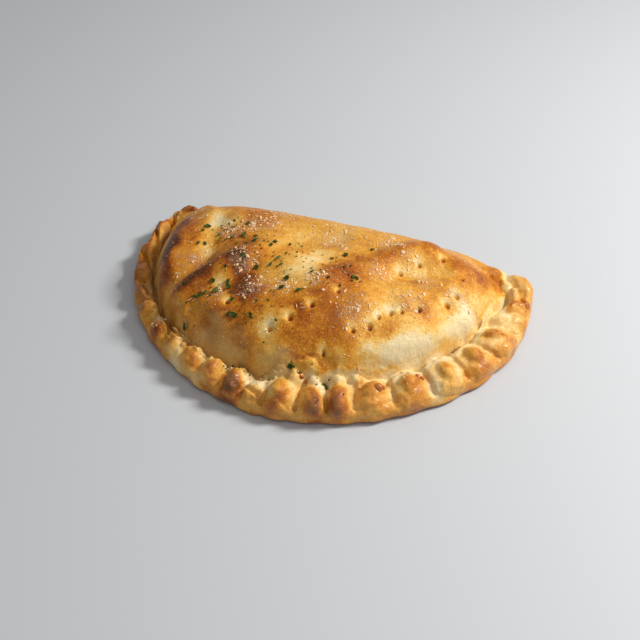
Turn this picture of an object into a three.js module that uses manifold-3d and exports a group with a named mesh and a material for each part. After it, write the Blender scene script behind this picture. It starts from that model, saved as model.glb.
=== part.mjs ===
// A baked calzone: a half moon of dough folded along its straight back edge, domed over its
// filling, and sealed round the curved front by a thick twisted crimp. One closed solid.
// Millimetres, +Z up, lying on its flat underside. X runs along the fold, -Y is the crimped front.
import * as THREE from 'three';
import Module from 'manifold-3d';

// Driving dimensions of the outline, measured from the line where the crust is widest
const crustLength = 247;        // from side to side of the crimp
const frontReach = 112;         // forward to the front of the crimp
const foldReach = 42;           // back to the back of the fold
const leftTipSwing = 4;         // the left tip lies this much further back than the right one

// The dome
const domeHeight = 45;
const domeInset = 19;           // its foot, in from the outer edge of the crimp
const domeMiddle = -23;         // y of the point that its rings close in on
const foldBellyHeight = 9;      // height at which the back of the fold stands furthest out
const foldTuck = 8;             // how far the underside is rounded in below the fold

// The folded edge, a low roll that runs out of the dome's shoulders into both tips
const rollWidth = 24;
const rollHeight = 26;          // at the dome's shoulders
const tipHeight = 15;           // at the tips
const tipLength = 42;           // from the dome's shoulder to the tip
const rollEndInset = 8;         // the roll stops this far inside each end of the outline

// The crimp: lobes pressed one after the other, each strand slanting back as it runs outwards.
// The widths run from the right tip by the front to the left tip.
const lobeWidths = [
  22, 27, 28, 25, 24, 24, 21, 17, 20, 18, 16, 17, 16, 16, 15, 16, 18, 21, 22, 21, 20, 19, 16,
];
const crimpEndY = 40;           // how far back the crimp reaches round each tip
const endTaper = 9;             // length of its rounded ends
const rimWidth = 24;            // mean width, measured in from the outer edge
const rimWidthSwing = 0.2;      // wider by this share on the right, and narrower on the left
const rimBellyHeight = 7;       // height at which the side of the crimp stands furthest out
const ridgeHeight = 17;         // inner ridge of the crimp, halfway up its lobes
const crimpSlant = 0.55;        // shift of the outer edge against the inner ridge, in lobes
const lobeHeight = 5.5;         // top of a lobe over the crease beside it
const lobeUneven = 0.22;        // how much the lobes differ in height
const scallopDepth = 2.2;       // how far each lobe bulges out of the outline

// How round the outline and the sections are: 2 is an ellipse, higher is squarer
const frontRoundness = 1.84;
const foldRoundness = 6;
const shoulderRoundness = 3.5;
const rimRoundness = 2.6;
const domeFlatness = 3;
const domeSteepness = 2;

// Mesh density
const stepsPerLobe = 7;
const endSteps = 3;
const rimSides = 13;
const rollSteps = 36;
const rollSides = 12;
const domeStations = 100;
const domeRings = 11;

// Swellings and hollows of the dome over its lumpy filling:
// x and y of the middle, half sizes along and across, turn in degrees, height
const swells = [
  { x: -88, y: -28, along: 34, across: 12, turn: 78, height: 3.0 },
  { x: -69, y: -26, along: 30, across: 9, turn: 48, height: -3.4 },
  { x: -52, y: -40, along: 34, across: 10, turn: 45, height: 3.6 },
  { x: -44, y: -52, along: 24, across: 8, turn: 42, height: -2.4 },
  { x: -50, y: -66, along: 22, across: 10, turn: 20, height: 2.2 },
  { x: -14, y: -6, along: 34, across: 15, turn: 8, height: -2.6 },
  { x: 14, y: -44, along: 40, across: 26, turn: -10, height: 3.2 },
  { x: 53, y: -10, along: 26, across: 12, turn: 20, height: -3.4 },
  { x: 74, y: -2, along: 24, across: 15, turn: -25, height: 3.0 },
  { x: 60, y: -46, along: 24, across: 16, turn: -40, height: 2.4 },
  { x: 20, y: 14, along: 40, across: 12, turn: 0, height: 2.2 },
  { x: -28, y: -78, along: 20, across: 9, turn: -5, height: -2.6 },
];

const wasm = await Module();
wasm.setup();

// A repeatable uneven number from -1 to 1 for each lobe
function uneven(index) {
  const wave = Math.sin(index * 12.9898 + 5) * 43758.5453;
  return 2 * (wave - Math.floor(wave)) - 1;
}

function signedPower(value, power) {
  return Math.sign(value) * Math.abs(value) ** power;
}

// Half moon seen from above, drawn in by inset at the front and sides. It starts in the middle
// of the fold and runs by the right tip, the front and the left tip.
class HalfMoon extends THREE.Curve {
  constructor(inset = 0, backRoundness = foldRoundness) {
    super();
    this.inset = inset;
    this.backRoundness = backRoundness;
    this.arcLengthDivisions = 2000;
  }

  getPoint(t, target = new THREE.Vector3()) {
    const angle = Math.PI / 2 - 2 * Math.PI * t;
    const front = Math.sin(angle) < 0;
    const reach = front ? frontReach - this.inset : foldReach;
    const power = 2 / (front ? frontRoundness : this.backRoundness);
    const across = signedPower(Math.cos(angle), power);
    const back = signedPower(Math.sin(angle), power);
    const swing = leftTipSwing * THREE.MathUtils.smoothstep(-across, 0.6, 0.95) * Math.max(0, back);
    return target.set((crustLength / 2 - this.inset) * across, reach * back + swing, 0);
  }
}

const outline = new HalfMoon();
const outlineLength = outline.getLength();
const crimpStart = outlineLength * tipShare();
const crimpLength = outlineLength - 2 * crimpStart;
const meanLobe = crimpLength / lobeWidths.length;
const edges = lobeEdges();

// Part of the outline's length at which the crimp starts, just round the right tip
function tipShare() {
  let share = 0;
  while (outline.getPointAt(share).y > crimpEndY) {
    share += 0.001;
  }
  return share;
}

// Where each lobe of the crimp starts, along the outline
function lobeEdges() {
  const total = lobeWidths.reduce((sum, width) => sum + width, 0);
  const starts = [crimpStart];
  for (const width of lobeWidths) {
    starts.push(starts[starts.length - 1] + (crimpLength * width) / total);
  }
  return starts;
}

// Fullness of the crimp at a place along the outline: 0 in a crease, 1 on top of a lobe
function lobeAt(along) {
  const held = THREE.MathUtils.clamp(along, crimpStart, crimpStart + crimpLength - 0.001);
  const index = edges.findIndex((edge) => edge > held) - 1;
  const part = (held - edges[index]) / (edges[index + 1] - edges[index]);
  return (1 + lobeUneven * uneven(index)) * Math.sin(Math.PI * part) ** 0.7;
}

// Distance from the nearer end of the crimp
function fromCrimpEnd(along) {
  return Math.min(along - crimpStart, crimpStart + crimpLength - along);
}

// One point of the crimp's section. turn -90 degrees is the underside, 0 the outer belly,
// 90 the top and 180 the inner side.
function rimPoint(along, turn) {
  const point = outline.getPointAt(along / outlineLength);
  const inwards = new THREE.Vector3(-point.x / 2, domeMiddle - point.y, 0).normalize();
  const part = (along - crimpStart) / crimpLength;
  const strength = 1 - 0.3 * THREE.MathUtils.smoothstep(part, 0.72, 0.95);
  const width = rimWidth * (1 + rimWidthSwing * Math.cos(2 * Math.PI * (part - 0.2)));
  const across = Math.cos(turn);
  const up = Math.sin(turn);
  const outerness = (1 + across) / 2;
  const lobe = lobeAt(along + crimpSlant * meanLobe * outerness) - 0.55;

  const slope = 1 - 0.28 * outerness;
  const rise = up < 0 ? rimBellyHeight : (ridgeHeight * strength - rimBellyHeight) * slope;
  const lift = up > 0 ? lobeHeight * lobe * strength * up : 0;
  const bulge = scallopDepth * lobe * Math.max(0, across) * (1 + Math.min(0, up));
  const inset = (width / 2) * (1 - signedPower(across, 2 / rimRoundness)) - bulge;
  const height = rimBellyHeight + rise * signedPower(up, 2 / rimRoundness) + lift;

  const gone = 1 - Math.min(1, fromCrimpEnd(along) / endTaper);
  const full = Math.sqrt(1 - gone * gone);
  point.addScaledVector(inwards, THREE.MathUtils.lerp(width / 2, inset, full));
  point.z = height * (0.35 + 0.65 * full);
  return point;
}

// Places along the crimp at which its section is taken: the same number for each lobe,
// and closer at the rounded ends
function rimStations() {
  const lobes = [];
  for (let lobe = 0; lobe < lobeWidths.length; lobe += 1) {
    for (let step = 0; step < stepsPerLobe; step += 1) {
      lobes.push(THREE.MathUtils.lerp(edges[lobe], edges[lobe + 1], step / stepsPerLobe));
    }
  }
  const ends = [];
  for (let step = 0; step < endSteps; step += 1) {
    ends.push(endTaper * (0.002 + 0.5 * (step / endSteps) ** 2));
  }
  return [
    ...ends.map((end) => crimpStart + end),
    ...lobes.filter((along) => fromCrimpEnd(along) > endTaper / 2),
    ...ends.reverse().map((end) => crimpStart + crimpLength - end),
  ];
}

function swellAt(x, y) {
  let height = 0;
  for (const swell of swells) {
    const turn = THREE.MathUtils.degToRad(swell.turn);
    const dx = x - swell.x;
    const dy = y - swell.y;
    const u = (dx * Math.cos(turn) + dy * Math.sin(turn)) / swell.along;
    const v = (dy * Math.cos(turn) - dx * Math.sin(turn)) / swell.across;
    height += swell.height * Math.exp(-(u * u + v * v));
  }
  return height;
}

// A point of the dome: foot is on its outline, part 1 at the edge and 0 in the middle
function domePoint(foot, part) {
  const x = foot.x * part;
  const y = THREE.MathUtils.lerp(domeMiddle, foot.y, part);
  const full = (1 - part ** domeFlatness) ** (1 / domeSteepness);
  const rise = domeHeight - foldBellyHeight;
  const z = foldBellyHeight + rise * full + swellAt(x, y) * Math.min(1, 1.6 * full);
  return new THREE.Vector3(x, y, z);
}

// Joins closed rings of points, each one next to the one before, into one closed skin.
// The first and the last ring are closed by fans.
function closedSkin(rings) {
  const count = rings[0].length;
  const points = rings.flat();
  const middleOf = (ring) => ring
    .reduce((sum, point) => sum.add(point), new THREE.Vector3())
    .divideScalar(count);
  const first = points.push(middleOf(rings[0])) - 1;
  const last = points.push(middleOf(rings[rings.length - 1])) - 1;
  const faces = [];
  for (let i = 0; i < count; i += 1) {
    const next = (i + 1) % count;
    faces.push(first, i, next);
    for (let ring = 0; ring < rings.length - 1; ring += 1) {
      const a = ring * count;
      const b = a + count;
      faces.push(a + i, b + i, b + next);
      faces.push(a + i, b + next, a + next);
    }
    const end = (rings.length - 1) * count;
    faces.push(end + i, last, end + next);
  }
  return new wasm.Manifold(new wasm.Mesh({
    numProp: 3,
    vertProperties: new Float32Array(points.flatMap((point) => [point.x, point.y, point.z])),
    triVerts: new Uint32Array(faces),
  }));
}

function makeDome() {
  const footLine = new HalfMoon(domeInset, shoulderRoundness);
  const feet = footLine.getSpacedPoints(domeStations).slice(0, domeStations);
  const rings = [];
  for (const turn of [90, 60, 30]) {
    const angle = THREE.MathUtils.degToRad(turn);
    rings.push(feet.map((foot) => {
      const inwards = new THREE.Vector3(-foot.x, domeMiddle - foot.y, 0).normalize();
      const point = foot.clone().addScaledVector(inwards, foldTuck * (1 - Math.cos(angle)));
      point.z = foldBellyHeight * (1 - Math.sin(angle));
      return point;
    }));
  }
  for (let ring = 0; ring < domeRings; ring += 1) {
    const part = Math.cos((Math.PI / 2) * (ring / domeRings)) ** 0.7;
    rings.push(feet.map((foot) => domePoint(foot, part)));
  }
  return closedSkin(rings);
}

function makeRim() {
  return closedSkin(rimStations().map((along) => {
    const ring = [];
    for (let side = 0; side < rimSides; side += 1) {
      const point = rimPoint(along, -Math.PI / 2 - (2 * Math.PI * side) / rimSides);
      point.z = side === 0 ? 0 : point.z;
      ring.push(point);
    }
    return ring;
  }));
}

function makeFoldRoll() {
  const halfLength = crustLength / 2 - rollEndInset;
  const rings = [];
  for (let step = 0; step <= rollSteps; step += 1) {
    const part = 0.999 * Math.sin(Math.PI * (step / rollSteps - 0.5));
    const x = part * halfLength;
    const swing = leftTipSwing * THREE.MathUtils.smoothstep(-part, 0.6, 0.95);
    const backY = foldReach * (1 - Math.abs(part) ** foldRoundness) ** (1 / foldRoundness) + swing;
    const fromTip = (halfLength - Math.abs(x)) / tipLength;
    const full = Math.sqrt(1 - (1 - Math.min(1, 4 * fromTip)) ** 2);
    const height = THREE.MathUtils.lerp(tipHeight, rollHeight, Math.min(1, fromTip));
    const ring = [];
    for (let side = 0; side < rollSides; side += 1) {
      const turn = -Math.PI / 2 - (2 * Math.PI * side) / rollSides;
      const across = signedPower(Math.cos(turn), 2 / rimRoundness) * (0.3 + 0.7 * full);
      const up = (1 + signedPower(Math.sin(turn), 2 / rimRoundness)) * (0.4 + 0.6 * full);
      ring.push(new THREE.Vector3(x, backY + (rollWidth / 2) * (across - 1), (height / 2) * up));
    }
    rings.push(ring);
  }
  return closedSkin(rings);
}

function makeDough() {
  const mesh = makeDome().add(makeFoldRoll()).add(makeRim()).getMesh();
  const geometry = new THREE.BufferGeometry();
  geometry.setAttribute('position', new THREE.BufferAttribute(mesh.vertProperties, 3));
  geometry.setIndex(new THREE.BufferAttribute(mesh.triVerts, 1));
  geometry.computeBoundingBox();
  const middle = geometry.boundingBox.getCenter(new THREE.Vector3());
  geometry.translate(-middle.x, -middle.y, -geometry.boundingBox.min.z);
  geometry.computeVertexNormals();
  const material = new THREE.MeshStandardMaterial({ color: 0xc98f4a, roughness: 0.55, metalness: 0 });
  const dough = new THREE.Mesh(geometry, material);
  dough.name = 'calzone_dough';
  return dough;
}

const calzone = new THREE.Group();
calzone.add(makeDough());

export default calzone;
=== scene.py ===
import math
import random

import bpy
import numpy as np
from mathutils import Matrix, Vector, noise
from mathutils.bvhtree import BVHTree
from mathutils.kdtree import KDTree


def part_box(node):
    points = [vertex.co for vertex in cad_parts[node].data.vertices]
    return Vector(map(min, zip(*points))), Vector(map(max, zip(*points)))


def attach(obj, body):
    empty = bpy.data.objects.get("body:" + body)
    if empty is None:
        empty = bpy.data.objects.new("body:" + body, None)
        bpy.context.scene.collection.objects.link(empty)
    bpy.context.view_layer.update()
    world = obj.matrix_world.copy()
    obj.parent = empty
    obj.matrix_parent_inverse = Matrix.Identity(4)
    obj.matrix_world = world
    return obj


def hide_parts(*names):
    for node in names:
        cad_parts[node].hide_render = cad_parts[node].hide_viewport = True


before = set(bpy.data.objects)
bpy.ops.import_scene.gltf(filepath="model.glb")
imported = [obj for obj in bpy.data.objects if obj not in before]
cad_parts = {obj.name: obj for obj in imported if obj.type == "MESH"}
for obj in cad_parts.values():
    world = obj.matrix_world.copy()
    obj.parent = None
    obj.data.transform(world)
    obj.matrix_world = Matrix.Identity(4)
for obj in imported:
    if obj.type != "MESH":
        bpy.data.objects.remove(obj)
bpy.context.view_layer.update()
low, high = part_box("calzone_dough")
print("frame loaded, crust box in mm:", [round(1000 * (b - a)) for a, b in zip(low, high)])

mm = 0.001


# a wire is one output of a shader node, so that shader maths reads as Python
class Wire:
    def __init__(self, tree, socket):
        self.tree = tree
        self.socket = socket

    # adds any node: its settings are set first, then its sockets get values or wires
    def node(self, kind, settings=None, sockets=None, output=0):
        made = self.tree.nodes.new(kind)
        for name, value in (settings or {}).items():
            if name == "stops":
                ramp = made.color_ramp
                while len(ramp.elements) < len(value):
                    ramp.elements.new(1.0)
                for element, (place, colour) in zip(ramp.elements, value):
                    element.position = place
                    element.color = colour
            else:
                setattr(made, name, value)
        for name, value in (sockets or {}).items():
            if isinstance(value, Wire):
                self.tree.links.new(value.socket, made.inputs[name])
            else:
                made.inputs[name].default_value = value
        return Wire(self.tree, made.outputs[output])

    def math(self, operation, first, second=0.0):
        return self.node("ShaderNodeMath", {"operation": operation}, {0: first, 1: second})

    def __add__(self, other):
        return self.math("ADD", self, other)

    __radd__ = __add__

    def __mul__(self, other):
        return self.math("MULTIPLY", self, other)

    __rmul__ = __mul__

    def __sub__(self, other):
        return self.math("SUBTRACT", self, other)

    def __rsub__(self, other):
        return self.math("SUBTRACT", other, self)

    # 0 below low, 1 above high, smooth in between
    def step(self, low, high):
        return self.node("ShaderNodeMapRange", {"interpolation_type": "SMOOTHSTEP"},
                         {"Value": self, "From Min": low, "From Max": high})

    # colours go through Mix, this wire being the factor
    def mix(self, first, second, blend="MIX"):
        return self.node("ShaderNodeMix", {"data_type": "RGBA", "blend_type": blend},
                         {0: self, 6: first, 7: second}, 2)

    def noise(self, size, detail=3.0, roughness=0.5, distortion=0.0):
        return self.node("ShaderNodeTexNoise", {"noise_dimensions": "3D"},
                         {"Vector": self, "Scale": 1.0 / size, "Detail": detail,
                          "Roughness": roughness, "Distortion": distortion})


# a new material with its shader; fixed values are set on the shader's own sockets
def newMaterial(name, **fixed):
    material = bpy.data.materials.new(name)
    material.use_nodes = True
    tree = material.node_tree
    shader = tree.nodes["Principled BSDF"]
    for socket, value in fixed.items():
        shader.inputs[socket.replace("_", " ")].default_value = value
    place = Wire(tree, None).node("ShaderNodeTexCoord", output=3)
    return material, shader, place


def feed(wire, shader, socket):
    wire.tree.links.new(wire.socket, shader.inputs[socket])


def deselect():
    if bpy.context.object and bpy.context.object.mode != "OBJECT":
        bpy.ops.object.mode_set(mode="OBJECT")
    bpy.ops.object.select_all(action="DESELECT")


def pick(*pieces):
    deselect()
    for piece in pieces:
        piece.select_set(True)
    bpy.context.view_layer.objects.active = pieces[0]


def applyModifier(piece, kind, **settings):
    pick(piece)
    modifier = piece.modifiers.new(kind.lower(), kind)
    for name, value in settings.items():
        setattr(modifier, name, value)
    bpy.ops.object.modifier_apply(modifier=modifier.name)


# selects faces by their middle and normal, and leaves the piece in edit mode
def selectFaces(piece, wanted):
    pick(piece)
    bpy.ops.object.mode_set(mode="EDIT")
    bpy.ops.mesh.select_mode(type="FACE")
    bpy.ops.mesh.select_all(action="DESELECT")
    bpy.ops.object.mode_set(mode="OBJECT")
    for face in piece.data.polygons:
        face.select = bool(wanted(face.center, face.normal))
    bpy.ops.object.mode_set(mode="EDIT")


def joinAll(pieces, name):
    pick(*pieces)
    bpy.ops.object.join()
    pieces[0].name = name
    pieces[0].data.name = name
    return pieces[0]


# a copy of a modelled piece with its own mesh, its place put into the mesh
def stamp(pattern, place):
    copy = pattern.copy()
    copy.data = pattern.data.copy()
    copy.data.transform(place)
    bpy.context.scene.collection.objects.link(copy)
    return copy


def vertexArray(piece):
    places = np.empty(len(piece.data.vertices) * 3)
    piece.data.vertices.foreach_get("co", places)
    return places.reshape(-1, 3)


def putVertices(piece, places):
    piece.data.vertices.foreach_set("co", places.ravel())
    piece.data.update()


def normalArray(piece):
    normals = np.empty(len(piece.data.vertices) * 3)
    piece.data.vertices.foreach_get("normal", normals)
    return normals.reshape(-1, 3)


def smoothStep(values, start, end):
    part = np.clip((values - start) / (end - start), 0.0, 1.0)
    return part * part * (3.0 - 2.0 * part)


view = dict(
    azimuth=18.64, elevation=42.48,     # degrees round from the front, and above the table
    distance=0.6357, lens=61.58,
    aim=(0.0099, -0.0100, 0.020),
)
lights = (
    # name, azimuth, elevation, distance, size, power, colour
    ("keyWindow", 115, 44, 1.1, 0.26, 13.6, (1.0, 0.96, 0.91)),
    ("softFill", 40, 60, 1.3, 0.9, 2.2, (0.98, 0.98, 1.0)),
)
studio = dict(floorColour=(0.505, 0.533, 0.568, 1), floorSize=6.0, sky=(1.0, 0.965, 0.92, 1), skyPower=0.33)


def directionFrom(azimuth, elevation):
    a = math.radians(azimuth)
    e = math.radians(elevation)
    return Vector((math.sin(a) * math.cos(e), -math.cos(a) * math.cos(e), math.sin(e)))


def addCamera():
    back = directionFrom(view["azimuth"], view["elevation"])
    spot = Vector(view["aim"]) + back * view["distance"]
    bpy.ops.object.camera_add(location=spot, rotation=back.to_track_quat("Z", "Y").to_euler())
    camera = bpy.context.object
    camera.data.lens = view["lens"]
    camera.data.sensor_width = 36.0
    camera.data.clip_start = 0.01
    bpy.context.scene.camera = camera


def addStudio():
    for name, azimuth, elevation, distance, size, power, colour in lights:
        back = directionFrom(azimuth, elevation)
        bpy.ops.object.light_add(type="AREA", location=back * distance,
                                 rotation=back.to_track_quat("Z", "Y").to_euler())
        light = bpy.context.object
        light.name = name
        light.data.size = size
        light.data.energy = power
        light.data.color = colour
    world = bpy.data.worlds.new("studioAir")
    world.use_nodes = True
    world.node_tree.nodes["Background"].inputs["Color"].default_value = studio["sky"]
    world.node_tree.nodes["Background"].inputs["Strength"].default_value = studio["skyPower"]
    bpy.context.scene.world = world
    bpy.context.scene.view_settings.view_transform = "Standard"

    bpy.ops.mesh.primitive_plane_add(size=studio["floorSize"])
    floor = bpy.context.object
    floor.name = "paleFloor"
    material, shader, place = newMaterial("paleFloor", Roughness=0.6)
    shader.inputs["Base Color"].default_value = studio["floorColour"]
    floor.data.materials.append(material)


# the crimp's half moon, seen from above; the same sizes as the crust solid
moon = dict(
    length=247 * mm, frontReach=112 * mm, foldReach=42 * mm, leftTipSwing=4 * mm,
    frontRoundness=1.84, foldRoundness=6.0,
    crimpEnd=40 * mm,                   # how far back the crimp reaches, from the widest line
    middle=-23 * mm,                    # the crimp faces this line inside the dome
)


def signedPower(values, power):
    return np.sign(values) * np.abs(values) ** power


# points of the outline and their distance along it, from the middle of the fold by the right tip
def tracedOutline(count=3000):
    angle = math.pi / 2 - 2 * math.pi * np.linspace(0, 1, count)
    front = np.sin(angle) < 0
    reach = np.where(front, moon["frontReach"], moon["foldReach"])
    power = 2 / np.where(front, moon["frontRoundness"], moon["foldRoundness"])
    across = signedPower(np.cos(angle), power)
    back = signedPower(np.sin(angle), power)
    swing = moon["leftTipSwing"] * smoothStep(-across, 0.6, 0.95) * np.maximum(0, back)
    points = np.stack([moon["length"] / 2 * across, reach * back + swing], 1)
    along = np.concatenate([[0.0], np.cumsum(np.hypot(*np.diff(points, axis=0).T))])
    return points, along


outline, outlineAlong = tracedOutline()
crimpStart = outlineAlong[np.nonzero((outline[:, 0] > 0) & (outline[:, 1] < moon["crimpEnd"]))[0][0]]
outlineAlong -= crimpStart              # from here on, 0 is where the crimp starts by the right tip
crimpLength = outlineAlong[-1] - crimpStart


# bends a straight crimp round the half moon: x is the distance along it, y the inset from its
# outer edge and z the height
def bendRound(points):
    edge = np.stack([np.interp(points[:, 0], outlineAlong, outline[:, axis]) for axis in (0, 1)], 1)
    inwards = np.stack([-edge[:, 0] / 2, moon["middle"] - edge[:, 1]], 1)
    inwards /= np.hypot(*inwards.T)[:, None]
    bent = edge + inwards * points[:, 1:2]
    bent[:, 1] += high.y - moon["foldReach"]
    return np.column_stack([bent, points[:, 2]])


crimpTree = KDTree(160 * 16)
crimpLattice = np.array([(along, inset, 0.0) for along in np.linspace(0, crimpLength, 160)
                         for inset in np.linspace(0, 30 * mm, 16)])
for index, spot in enumerate(bendRound(crimpLattice)):
    crimpTree.insert(spot, index)
crimpTree.balance()


# the other way round: how far along the crimp, and in from its edge, each point lies
def crimpMeasure(points):
    step = np.array([0.5 * mm, 0, 0])
    here = bendRound(crimpLattice)
    ahead = (bendRound(crimpLattice + step) - bendRound(crimpLattice - step)) / mm
    inwards = (bendRound(crimpLattice + step[[1, 0, 2]]) - here) / (0.5 * mm)
    nearest = np.array([crimpTree.find((x, y, 0))[1] for x, y in points[:, :2]])
    offset = points[:, :2] - here[nearest, :2]
    a, b = ahead[nearest, :2], inwards[nearest, :2]
    area = a[:, 0] * b[:, 1] - a[:, 1] * b[:, 0]
    area = np.where(np.abs(area) < 0.2, 0.2 * np.where(area < 0, -1, 1), area)
    along = (offset[:, 0] * b[:, 1] - offset[:, 1] * b[:, 0]) / area
    inset = (a[:, 0] * offset[:, 1] - a[:, 1] * offset[:, 0]) / area
    return crimpLattice[nearest, 0] + along, crimpLattice[nearest, 1] + inset


dough = dict(
    voxel=0.66 * mm, quickVoxel=1.2 * mm,
    triangles=190000,                   # the finished crust is thinned to this many
    rimSink=0.5,                        # the solid's own crimp is sunk below the pinched one
    leftSpread=5.5,
    domeSmooth=24, finishSmooth=1, flankSmooth=8,
    cutHeight=0.4 * mm,                 # the underside is cut flat this far up
    unevenSize=13 * mm, unevenDepth=1.2 * mm,
    blisterSize=2.6 * mm, blisterDepth=0.40 * mm,
)

# the crimp, modelled straight: a roll of dough on which one pinch is pressed after another
crimp = dict(
    # width and height of the plain roll at places along it, from the right tip
    along=(0, 14, 40, 110, 170, 225, 245, 290, 345, 478),
    width=(12, 18, 27, 30, 28, 27, 22, 18, 15.5, 14),
    height=(8.0, 10.0, 12.0, 13.0, 12.5, 12.5, 11.5, 11.0, 10.0, 9.5),
    roundness=2.7, outerSlope=0.15,
    moundDrop=(3.0, 3.0, 3.6, 3.6, 3.6, 3.2, 3.0, 2.4, 1.4, 1.0),
    moundWidth=0.86, moundLength=0.50, moundRound=9.0,
    bulgeWidth=0.46, bulgeRound=7.3, bulgeHeight=8.8,
    creaseDepth=1.7, creaseWidth=1.25,
    overrun=7,                          # how far both ends run on round the corners of the fold
    wrinkleSize=(6.5, 3.2, 3.6), wrinkleDepth=0.75,
    voxel=0.8 * mm, smooth=2,
)

# the pinches, from the right tip by the front to the left tip: distance along the crimp in mm,
# half width and half length of the head, its inset, the height of its top, how far its outer
# end swings back towards the right tip, and how brown it is
pinches = (
    dict(along=42, half=5.5, reach=6.0, inset=11.5, top=18.5, swing=2, brown=0.55),
    dict(along=55, half=8.5, reach=9.5, inset=16.5, top=18.5, swing=0, brown=0.10),
    dict(along=79, half=5.8, reach=6.0, inset=12.5, top=21.5, swing=3, brown=0.62),
    dict(along=105, half=6.2, reach=6.4, inset=11.0, top=22.0, swing=1, brown=0.62),
    dict(along=129, half=6.8, reach=7.0, inset=10.0, top=21.5, swing=0, brown=0.65),
    dict(along=154, half=7.0, reach=6.5, inset=11.0, top=21.0, swing=3, brown=0.55),
    dict(along=177, half=8.5, reach=8.0, inset=11.5, top=19.5, swing=-1, brown=0.35),
    dict(along=198, half=6.4, reach=9.0, inset=9.0, top=20.5, swing=2, brown=0.75),
    dict(along=213, half=5.6, reach=10.0, inset=8.0, top=19.0, swing=7, brown=0.70),
    dict(along=232, half=7.8, reach=8.5, inset=10.0, top=21.0, swing=-3, brown=0.65),
    dict(along=246, half=6.0, reach=7.0, inset=9.0, top=16.5, swing=-4, brown=0.10),
    dict(along=261, half=6.8, reach=9.0, inset=8.0, top=19.5, swing=0, brown=1.00),
    dict(along=277, half=7.2, reach=8.5, inset=8.0, top=19.5, swing=3, brown=0.70),
    dict(along=293, half=7.6, reach=8.0, inset=7.5, top=18.5, swing=2, brown=0.70),
    dict(along=310, half=5.0, reach=7.0, inset=7.0, top=18.5, swing=3, brown=0.30),
    dict(along=329, half=9.5, reach=7.0, inset=7.0, top=16.5, swing=-2, brown=0.50),
    dict(along=350, half=9.0, reach=7.0, inset=6.5, top=16.5, swing=-5, brown=0.42),
    dict(along=368, half=8.5, reach=7.0, inset=6.5, top=15.5, swing=-5, brown=0.36),
    dict(along=389, half=11.0, reach=7.5, inset=6.5, top=16.0, swing=-6, brown=0.42),
    dict(along=412, half=12.5, reach=7.5, inset=6.5, top=16.5, swing=-6, brown=0.36),
    dict(along=437, half=12.0, reach=7.5, inset=6.5, top=16.5, swing=-6, brown=0.32),
    dict(along=465, half=17.0, reach=8.5, inset=7.0, top=17.0, swing=-2, brown=0.36),
)

# loose shapes of the crimp, sizes in mm: the curled end by the right tip, lumps that
# join some pinches to the dome, the torn layer in front
extras = (
    dict(along=20, inset=5.0, top=18.5, size=(17, 6.8, 9.0), turn=-0.10),
    dict(along=30, inset=12.5, top=18.6, size=(12, 4.6, 8.0), turn=-0.10),
    dict(along=17, inset=17.0, top=20.0, size=(9, 7, 11), turn=-0.20),
    dict(along=4, inset=10.0, top=19.5, size=(11, 9, 11), turn=0.0),
    dict(along=5, inset=18.0, top=26.0, size=(15, 12, 17), turn=0.0),
    dict(along=473, inset=11.0, top=16.5, size=(12, 9, 8), turn=0.0),
    dict(along=187, inset=20.5, top=19.5, size=(6.0, 4.5, 7.0), turn=0.2),
    dict(along=199, inset=19.5, top=19.5, size=(6.0, 4.2, 7.0), turn=0.0),
    dict(along=214, inset=19.5, top=18.5, size=(5.0, 3.6, 6.0), turn=0.0),
    dict(along=226, inset=21.0, top=21.0, size=(5.5, 7.0, 9.0), turn=0.3),
    dict(along=243, inset=6.6, top=15.6, size=(9, 2.6, 2.4), turn=-0.30),
)

# the valley between crimp and dome: where it runs and how deep it is pressed
valley = dict(
    along=(0, 20, 38, 51, 81, 112, 140, 180, 205, 217, 229, 240, 250, 261, 272, 285, 300, 320, 345, 390, 430, 450, 478),
    inset=(14, 19.5, 20, 27.5, 24, 23, 23, 24, 25.5, 28, 25, 22, 19, 20, 16.5, 15.5, 12.5, 12.5, 12.5, 12, 11.5, 10, 8),
    depth=(0, 2, 2, 1.8, 2.2, 2, 2.4, 2.2, 1.6, 1.8, 0, 0.6, 3.6, 4.2, 3, 2.4, 2.4, 4, 4.5, 4.2, 4, 3.5, 1),
    width=2.8, waver=0.8, waverSize=7,
    # a narrow gap at its bottom
    slitAlong=(0, 40, 58, 66, 84, 92, 112, 126, 138, 146, 165, 200, 215, 232, 262, 330, 478),
    slit=(0, 0.5, 1.0, 3.4, 1.0, 3.2, 3.6, 1.2, 3.0, 1.6, 1.0, 0.6, 0.8, 0.4, 3.0, 4.0, 3.0),
    slitWidth=1.0,
    # how high the dough stands up torn along the valley
    tornAlong=(0, 60, 120, 215, 235, 262, 290, 330, 400, 478),
    torn=(0.3, 0.8, 1.0, 1.2, 2.2, 4.0, 4.2, 2.6, 1.6, 0.5),
    tornSize=2.6,
)

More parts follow.
